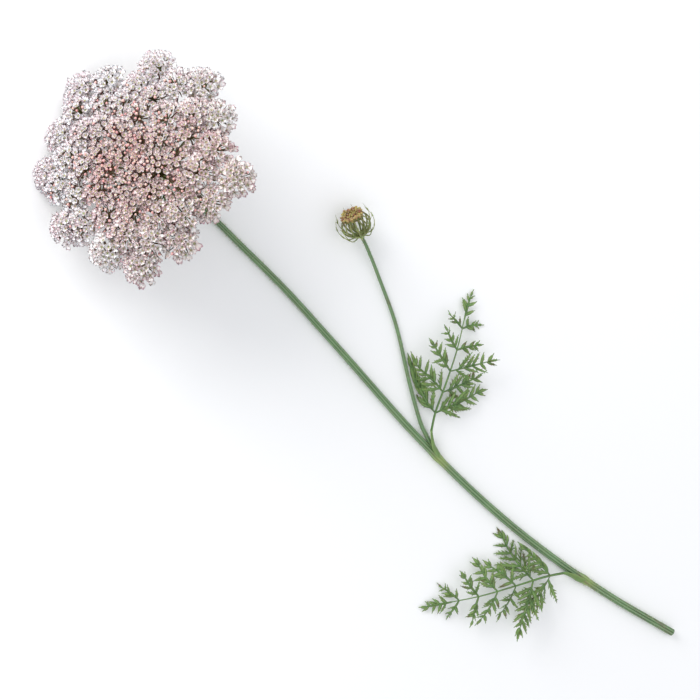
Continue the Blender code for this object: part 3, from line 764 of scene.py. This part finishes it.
# The stem: a ribbed tube, turned a little by a sine, that rests on the surface.
def buildStem():
    size = stemSize
    sides, rows = size["sides"], stemRows(size["stations"])
    points, rib, run = ribbed(
        rows, sides, size["ribs"], size["ribDepth"], size["ripple"], size["twist"])
    points[..., 2] = np.maximum(points[..., 2], 0.0)
    wine = 0.35 + 0.65 * smooth((0.35 - run) / 0.35) + 0.5 * smooth((run - 0.85) / 0.1)
    young = 0.55 * sum(np.exp(-(((rows[:, :1] - at - 2) / 5) ** 2)) for at in size["nodes"])
    marks = {
        "rib": np.tile(0.75 * smooth((rib - 0.55) / 0.4), len(rows)),
        "wine": np.repeat(np.clip(wine, 0, 1), sides),
        "young": np.repeat(young + 0.45 * smooth((run - 0.82) / 0.15), sides),
    }
    addMesh("stemSkin", points.reshape(-1, 3), skin(len(rows), sides), "herbStem", "stem", marks)
    buildCutEnd(rows)
    buildHairs(rows, "stemHairs", size["hairs"], "stem", size["hairLength"])


# The cut face: a pale ring of flesh round a hollow, as rings of radius and depth.
def buildCutEnd(rows):
    profile, sides = stemSize["cutRings"], stemSize["cutSides"]
    ahead = unit(rows[0, :3] - rows[1, :3])
    side, up = sideOf(ahead)
    turn, _ = circle(sides)
    wave = 1 + 0.03 * np.sin(8 * turn) + 0.02 * np.sin(3 * turn)
    ring = rows[0, 3] * wave[:, None] * around(turn, up, side)
    points = np.concatenate([rows[0, :3] + r * ring + d * ahead for r, d in profile])
    addMesh("cutFace", points, skin(len(profile), sides, turned=True), "stemFlesh", "stem")


hairSize = {
    "spread": 2.3,  # radians from the top of the stem, so that none grows into the surface
    "lean": (0.1, 0.6), "radii": (0.07, 0.045, 0.015), "lowest": 0.05,
}


# Short stiff hairs: thin cones that stand off the skin and lean towards the head by the square
# of their share.
def buildHairs(rows, name, count, nodeName, lengths):
    size = hairSize
    k = rng.uniform(0, len(rows) - 1, count).astype(int)
    ahead = unit(along(rows[:, :3]))[k]
    side, up = sideOf(ahead)
    outward = around(rng.uniform(-size["spread"], size["spread"], count), up, side)
    length = rng.uniform(*lengths, count)[:, None, None]
    root = rows[k, :3] + 0.96 * rows[k, 3:4] * outward
    lean = rng.uniform(*size["lean"], count)[:, None, None]
    t = steps(3)
    paths = root[:, None] + length * (t * outward[:, None] + lean * t**2 * ahead[:, None])
    paths[..., 2] = np.maximum(paths[..., 2], size["lowest"])
    addMesh(name, *tubes(paths, size["radii"], 3)[:2], "stiffHair", nodeName)


leafSize = {
    "upper": {
        "rib": (
            (51.5, 1.2, 3.4), (46.0, 9.0, 5.2), (40.0, 22.0, 6.6),
            (34.0, 36.0, 6.0), (28.0, 50.0, 2.6), (25.0, 58.0, 0.9)),
        "node": 62.0, "hand": 1, "pocket": 4.0, "seed": 3,
    },
    "lower": {
        "rib": (
            (149.5, -3.4, 3.4), (142.0, -11.0, 5.4), (132.0, -24.0, 6.8),
            (122.0, -38.0, 5.8), (112.0, -51.0, 2.6), (107.0, -58.0, 0.9)),
        "node": 160.0, "hand": -1, "pocket": 0.5, "seed": 5,
    },
    "plan": (  # width, spacing of side blades, their angle, the longest one over the length, steps
        (0.8, 0.0, 0.0, 0.0, 5),
        (1.5, 1.9, 36.0, 0.36, 8),
        (1.1, 3.6, 44.0, 0.42, 12),
        (1.2, 10.5, 56.0, 0.42, 40),
    ),
    "tilt": 0.35,  # how much the leaflets turn out of the leaf's plane
    "brownTips": 0.14,  # share of the smallest blades whose tips have browned
    "section": (  # across and up, over half the width and the thickness
        (-1.0, 0.0), (-0.5, 0.5), (0.0, 0.72), (0.5, 0.5),
        (1.0, 0.0), (0.5, -0.45), (0.0, -0.75), (-0.5, -0.45)),
    "lowest": 0.42, "pressed": 1.2,  # a blade's height on the surface, and where it starts to yield
    "droop": 0.003, "thickness": 0.32, "sheathLength": 10.0, "sheathEdges": (-30.0, 95.0),
}


# Midlines of a divided blade on a plane: each blade bears pairs of smaller ones, and one more
# straight on at its end.
# Points are complex numbers: the real part runs along the leaf, the other to its left. High
# and slope say how far a blade's midline leaves the plane, and tilt how its face turns.
def flatBlades(start, heading, length, order, draw, found, high=0.0, slope=0.0, tilt=(0.0, 0.0)):
    width, spacing, angle, share, _ = leafSize["plan"][order]
    uneven = float(order < 3)  # the rib itself is even
    bend = draw.uniform(-0.22, 0.22) * uneven
    found[order].append((start, heading, length, bend, width, high, slope, *tilt))
    if not spacing:
        return
    pairs = max(1, round(length / spacing))
    wander = leafSize["tilt"] * (0.5 if uneven else 1.0)
    for k in range(pairs):
        for hand in (1, -1):
            at = (k + 0.9 + draw.uniform(-0.3, 0.3) * uneven) / (pairs + 0.8)
            at = min(max(at, 0.08), 0.93)
            side = length * share * (1 - 0.68 * at**1.3) * draw.uniform(0.75, 1.15)
            here = start + at * length * heading * np.exp(1j * bend * at)
            spread = math.radians(angle) + draw.uniform(-0.22, 0.22) * uneven
            newTilt = (tilt[0] + draw.normal(0, wander), tilt[1] + draw.normal(0, wander))
            newSlope = slope + draw.normal(0, 0.16)
            turn = np.exp(1j * (hand * spread + bend * at))
            flatBlades(here, heading * turn, max(side, 0.9), order - 1, draw, found,
                       high + slope * at * length, newSlope, newTilt)
    end = start + 0.92 * length * heading * np.exp(0.92j * bend)
    ahead = heading * np.exp(1j * bend)
    flatBlades(end, ahead, max(length * share * 0.5, 1.2), order - 1, draw, found,
               high + 0.92 * slope * length, slope, tilt)


# Carries flat points over a leaf's arched rib: along it, then square to it, with a droop that
# grows as the distance squared.
def liftFlat(flat, rib, droop):
    fine = route(rib, 300)
    run = np.concatenate([[0.0], np.cumsum(np.linalg.norm(np.diff(fine, axis=0), axis=1))])
    forward, off = flat.real, flat.imag
    clipped = np.clip(forward, 0, run[-1])
    at, front = (
        np.stack([np.interp(clipped, run, rows[:, i]) for i in range(3)], -1)
        for rows in (fine, unit(along(fine))))
    front = unit(front)
    side = -unit(np.cross(front, upright))
    spot = at + off[..., None] * side + (forward - clipped)[..., None] * front
    spot[..., 2] -= droop * off**2
    return spot


# Pushes points off a line on the surface, so that a leaf lies beside a stem.
# The distance d from the line, taken to the leaf's side, becomes near + (far - near)
# exp((d - far) / (far - near)) below far, so it never falls under near.
def standOff(points, line, hand, near, far):
    slope = np.gradient(line[:, 1], line[:, 0])
    square = 1 / np.sqrt(1 + np.interp(points[..., 0], line[:, 0], slope) ** 2)
    d = hand * (points[..., 1] - np.interp(points[..., 0], line[:, 0], line[:, 1])) * square
    room = near + (far - near) * np.exp((d - far) / (far - near))
    points[..., 1] += np.where(d < far, hand * (room - d) / square, 0.0)


# Closed narrow blades: five points across the top and three below share their edges.
# The top is creased along the midline and the tip ends in a point.
def blades(midlines, halves, upward, thickness, crease):
    ahead = unit(along(midlines))
    side = unit(np.cross(ahead, upward))
    above = np.cross(side, ahead)
    rings = []
    for x, z in leafSize["section"]:
        lift = z * thickness + crease * abs(x) * halves
        rings.append(midlines + (x * halves)[..., None] * side + lift[..., None] * above)
    points = np.stack(rings, 2)
    count, rows, sides = points.shape[:3]
    share = np.broadcast_to(steps(rows), points.shape[:3])
    across = np.tile([abs(x) for x, _ in leafSize["section"]], count * rows)
    return points.reshape(-1, 3), skin(rows, sides, count, turned=True), share.ravel(), across


stemFull = stemRows(400)[::-1]
stemLine = stemFull[:, :2]
sideLine = np.array((
    (-60.0, 50.0), (-36.0, 41.5), (-16.0, 35.0), (6.0, 25.0), (28.0, 11.0), (44.0, 1.6),
    (60.0, -4.0)))
leafSize["upper"]["beside"] = ((stemLine, 2.6, 6.0), (sideLine, 1.7, 6.0))
leafSize["lower"]["beside"] = ((stemLine, 2.6, 7.0),)


# A leaf: its divided blades as flat midlines, carried over the arched rib and pressed on the
# surface, each with a width that swells by a sine and ends in a point, and the sheath.
def buildLeaf(name, leaf, nodeName):
    size = leafSize
    draw = np.random.default_rng(leaf["seed"])
    length = np.linalg.norm(np.diff(route(leaf["rib"], 200), axis=0), axis=1).sum()
    found = {k: [] for k in range(4)}
    flatBlades(0j, 1 + 0j, 0.9 * length, 3, draw, found)
    sheath, sheathFaces, margin = sheathOf(leaf)
    parts, marks = [], {"tip": [], "vein": [], "brown": []}
    for order, rows in found.items():
        isRib, isSmall = order == 3, order < 2
        t = steps(size["plan"][order][4])[:, 0]
        start, heading, reach, bend, width, high, slope, tiltA, tiltB = (
            np.array(c)[:, None] for c in zip(*rows))
        flat = start + reach * t * heading * np.exp(1j * bend * t)
        mid = liftFlat(flat, leaf["rib"], size["droop"])
        low = mid[..., 2] + high + slope * reach * t
        yielding = size["pressed"] - size["lowest"]
        pressed = size["lowest"] + yielding * np.exp((low - size["pressed"]) / yielding)
        mid[..., 2] = np.where(low < size["pressed"], pressed, low)
        if not isRib:
            for line, near, far in leaf["beside"]:
                standOff(mid, line, leaf["hand"], near, far)
        swell = lerp(1.0, 0.35, t) if isRib else np.sin(math.pi * (0.16 + 0.83 * t)) ** 0.7 + 0.02
        halves = 0.5 * width * swell
        if isSmall:
            halves = halves * np.clip(reach / 3.2, 0.55, 1.0)
        upward = np.stack([tiltA, tiltB, np.ones_like(tiltA)], -1) + 0 * mid
        thick, crease = (1.7, -0.1) if isRib else (0.6, 0.18)
        thick = thick * size["thickness"]
        points, faces, share, across = blades(mid, halves, upward, thick, crease)
        parts.append((points, faces))
        isBrown = draw.uniform(0, 1, len(rows)) < size["brownTips"] * isSmall
        isBrown = np.repeat(isBrown, len(points) // len(rows))
        marks["brown"].append(isBrown * smooth((share - 0.35) / 0.6))
        marks["tip"].append(share * (0.55 if isSmall else 0.15))
        marks["vein"].append(np.where(across < 0.1, 0.55, 0.0) * (order > 0))
    marks["brown"].append(np.zeros(len(sheath)))
    marks["tip"].append(np.full(len(sheath), 0.35))
    marks["vein"].append(margin)
    points, faceSets = gather([*parts, (sheath, sheathFaces)])
    marks = {mark: np.concatenate(values) for mark, values in marks.items()}
    addMesh(name, points, faceSets, "fernyLeaf", nodeName, marks)


# The sheath: a wall round the stem that opens and narrows into the leaf's rib.
# Its rows are arcs round the stem's axis, blended by a smooth step into the rib's ellipse.
def sheathOf(leaf):
    size = leafSize
    leafHand = leaf["hand"]
    low, high = np.radians(size["sheathEdges"])
    share, part = steps(30), steps(24).T
    x = leaf["node"] - share * size["sheathLength"]
    y, z, radius = (np.interp(x, stemLine[:, 0], stemFull[:, c]) for c in (1, 2, 3))
    reach = radius + 0.1 + 0.5 * smooth(share / 0.3) + leaf["pocket"] * share**2
    angle = low + (high - low) * (0.17 * share + (1 - 0.34 * share) * part)
    rib = np.array(leaf["rib"])
    ahead = unit(rib[1] - rib[0])
    side = leafHand * unit(np.cross(ahead, upright))
    up = leafHand * np.cross(side, ahead)
    pull = smooth((share - 0.45) / 0.55)[..., None]
    walls = []
    for hand in (1, -1):
        r = reach + hand * 0.16 + 0.05 * np.cos(part * 42) * (hand > 0)
        arc = np.stack([x + 0 * part, y + leafHand * r * np.cos(angle), z + r * np.sin(angle)], -1)
        oval = rib[0] + 0.6 * ahead + around(math.pi * part, 0.62 * side, hand * 0.42 * up)
        walls.append(lerp(arc, oval, pull))
    loop = np.concatenate([walls[0], walls[1][:, ::-1]], 1)
    loop[..., 2] = np.maximum(loop[..., 2], 0.06)
    rows, sides = loop.shape[:2]
    margin = 0.55 * np.tile(np.abs(2 * part[0] - 1) ** 6, 2 * rows)
    return loop.reshape(-1, 3), skin(rows, sides, turned=leafHand > 0), margin


nestSize = {
    "stem": (
        (60.0, -3.9, 2.3), (52.5, -1.75, 2.2), (44.0, 1.6, 2.2), (28.0, 11.0, 1.8),
        (6.0, 25.0, 1.4), (-16.0, 35.0, 2.4)),
    "stemRadii": (1.0, 0.7), "stemSides": 28, "stemStations": 260, "ribs": 6, "ribDepth": 0.09,
    "hairs": 420, "hairLength": (0.3, 0.8),
    "place": (-36.0, 41.5, 6.714), "tilt": 16.0, "turn": -14.0,
    "rings": ((15, 0.0, 1.0, 0.8), (6, 0.3, 0.52, 0.7)),  # rays, their shift, radius and depth
    "radius": 6.2, "depth": 12.0, "hubHeight": 1.9,
    "bowl": ((0.1, 0.02), (0.55, 0.12), (0.9, 0.38), (1.0, 0.66), (0.9, 0.88), (0.72, 1.0)),
    "hub": ((-1.5, 0.7), (-1.2, 1.3), (-0.2, 1.9), (0.8, 1.6), (1.3, 0.6)),  # height, radius
    "rayRadius": (0.42, 0.28), "buds": 9, "budScale": (0.9, 1.25),
    "stalk": 1.35, "stalkRadius": 0.13,
    "bracts": 9, "bractLength": 15.0, "bractRadius": (0.3, 0.05), "forks": (5, 8),
    "bractLine": ((0.08, 0.0), (0.4, 0.06), (0.56, 0.42), (0.5, 0.8)),  # radius, depth
}
nestAxes = facingAxes(nestSize["tilt"], nestSize["turn"], 0.0)
nestHub = np.array(nestSize["place"])


# The side stem: a lightly ribbed tube along its curve, thinner towards the nest.
def buildSideStem():
    size = nestSize
    sides = size["stemSides"]
    end = nestHub - (0.8 * size["hubHeight"] + 0.3) * nestAxes[2]
    rows = route([*size["stem"], end - 6.0 * nestAxes[2], end], size["stemStations"])
    rows = np.column_stack([rows, np.linspace(*size["stemRadii"], len(rows))])
    points, rib, run = ribbed(rows, sides, size["ribs"], size["ribDepth"])
    marks = {
        "rib": np.tile(0.7 * rib, len(rows)),
        "wine": np.repeat(0.2 + 0.7 * run, sides),
        "young": np.repeat(0.5 * smooth(1 - run / 0.15), sides),
    }
    faces = skin(len(rows), sides)
    addMesh("sideStemSkin", points.reshape(-1, 3), faces, "herbStem", "side_stem", marks)
    buildHairs(rows, "sideStemHairs", size["hairs"], "side_stem", size["hairLength"])


# The young umbel: rays that swing out and back in along one curve of radius and depth, with a
# golden angle tuft of closed buds on each, and forked bracts round them.
def buildNest():
    size = nestSize
    bowl = route(size["bowl"], 16)
    paths = []
    for count, shift, wide, deep in size["rings"]:
        for k in range(count):
            outward, _ = spoke(fullTurn * (k + shift + 0.12 * wobble(k, 9)) / count)
            radius = size["radius"] * wide * (1 + 0.05 * wobble(k, 10))
            depth = size["depth"] * deep * (1 + 0.05 * wobble(k, 11))
            paths.append(radius * bowl[:, :1] * outward + depth * bowl[:, 1:] * upright)
    paths = np.array(paths)
    rayPoints, rayFaces, share = tubes(paths, np.linspace(*size["rayRadius"], len(bowl)), 7)
    tips, axes = paths[:, -1], unit(paths[:, -1] - paths[:, -3])
    side, up = sideOf(axes)
    k = np.arange(size["buds"])
    flat = around(k * goldenAngle, side[:, None], up[:, None])
    facing = around(1.15 * np.sqrt((k + 0.5) / len(k)), axes[:, None], flat)
    starts = tips[:, None] - 0.15 * axes[:, None] + 0 * facing
    ends = (tips[:, None] + size["stalk"] * facing).reshape(-1, 3)
    facing = facing.reshape(-1, 3)
    stalks = tubes(lerp(starts.reshape(-1, 1, 3), ends[:, None], steps(3)), size["stalkRadius"], 4)
    bracts = []
    line = route(size["bractLine"], 12)
    t = steps(len(line))
    for k in range(size["bracts"]):
        outward, aside = spoke(fullTurn * (k + 0.5 + 0.2 * wobble(k, 12)) / size["bracts"])
        bract = size["bractLength"] * (line[:, :1] * outward + line[:, 1:] * upright)
        bracts.append(bract)
        for at in size["forks"]:
            for hand in (1, -1):
                ahead = 0.55 * hand * aside + 0.9 * unit(bract[at + 1] - bract[at])
                bracts.append(bract[at] + t * (3.2 - 0.15 * at) * ahead)
    bracts = tubes(np.array(bracts), np.linspace(*size["bractRadius"], len(line)), 5)
    hub = lathe(size["hub"], 20, creases=7, depth=0.12)
    points, faces = gather([(rayPoints, rayFaces), hub, stalks[:2], bracts[:2]])
    wine = np.zeros(len(points))
    wine[: len(rayPoints)] = 0.35 * share
    placed = toFlower(points, nestHub, nestAxes)
    addMesh("nestRays", placed, faces, "freshStalk", "side_umbel", {"wine": wine})
    scale = rng.uniform(*size["budScale"], len(ends))[:, None, None]
    points, faces = stampFacing(*bud, ends - 0.1 * facing, facing, scale)
    addMesh("nestBuds", toFlower(points, nestHub, nestAxes), faces, "youngBud", "side_umbel")


buildRays()
buildPedicels()
buildPetals()
buildHearts()
buildStamens()
buildBuds()
buildBracteoles()
buildInvolucre()
buildStem()
buildLeaf("upperLeafBlade", leafSize["upper"], "upper_leaf")
buildLeaf("lowerLeafBlade", leafSize["lower"], "lower_leaf")
buildSideStem()
buildNest()


studio = {  # lengths are in metres, angles in degrees
    "paper": {"main": "#FFFFFF", "finish": (0.9, 1.5, 0.0, 50.0)},  # matt, and it has no glow
    "floorHalf": 3.0,
    "sky": "#F6F8FC", "skyStrength": 0.8,
    "lights": (  # name, watts, width, and its direction: right, up and towards the camera
        ("key", 11.0, 0.7, (-0.55, 0.6, 0.75)),
        ("fill", 1.3, 1.2, (0.8, -0.5, 0.6)),
    ),
    "lightDistance": 1.2,
    "focalMm": 120.0, "distance": 1.02,
    "azimuth": 292.0, "elevation": 66.0, "roll": 110.0,
    "target": (0.0, 0.0, 0.01), "slide": (-0.0165, 0.02),
}


# The camera's right, up and back directions, from its angles.
def cameraAxes():
    a, e, roll = (math.radians(studio[key]) for key in ("azimuth", "elevation", "roll"))
    back = Vector((math.sin(a) * math.cos(e), -math.cos(a) * math.cos(e), math.sin(e)))
    return (-back).to_track_quat("-Z", "Y").to_matrix() @ Matrix.Rotation(roll, 3, "Z")


# A white floor under a pale sky, one large soft light and a weaker one opposite.
def buildStudio():
    half = studio["floorHalf"]
    corners = [(-half, -half, 0), (half, -half, 0), (half, half, 0), (-half, half, 0)]
    mesh = bpy.data.meshes.new("floor")
    mesh.from_pydata(corners, [], [(0, 1, 2, 3)])
    floor = addObject("floor", mesh)
    mesh.materials.append(finishMaterial("paperSweep", studio["paper"]))
    world = bpy.data.worlds.new("studio")
    world.use_nodes = True
    background = world.node_tree.nodes["Background"]
    background.inputs["Color"].default_value = colour(studio["sky"])
    background.inputs["Strength"].default_value = studio["skyStrength"]
    bpy.context.scene.world = world
    turn = cameraAxes()
    for name, watts, size, direction in studio["lights"]:
        light = bpy.data.lights.new(name, "AREA")
        light.energy = watts
        light.size = size
        lamp = addObject(name, light)
        lamp.location = turn @ Vector(direction).normalized() * studio["lightDistance"]
        lamp.rotation_euler = (-lamp.location).to_track_quat("-Z", "Y").to_euler()


# The camera stands back from the target along its own axis, moved a little across and up.
def buildCamera():
    camera = bpy.data.cameras.new("camera")
    camera.lens = studio["focalMm"]
    made = addObject("camera", camera)
    turn = cameraAxes()
    place = Vector((*studio["slide"], studio["distance"]))
    made.location = Vector(studio["target"]) + turn @ place
    made.rotation_euler = turn.to_euler()
    bpy.context.scene.camera = made


buildStudio()
buildCamera()
print("studio and camera")
bpy.context.scene.view_settings.view_transform = "Standard"
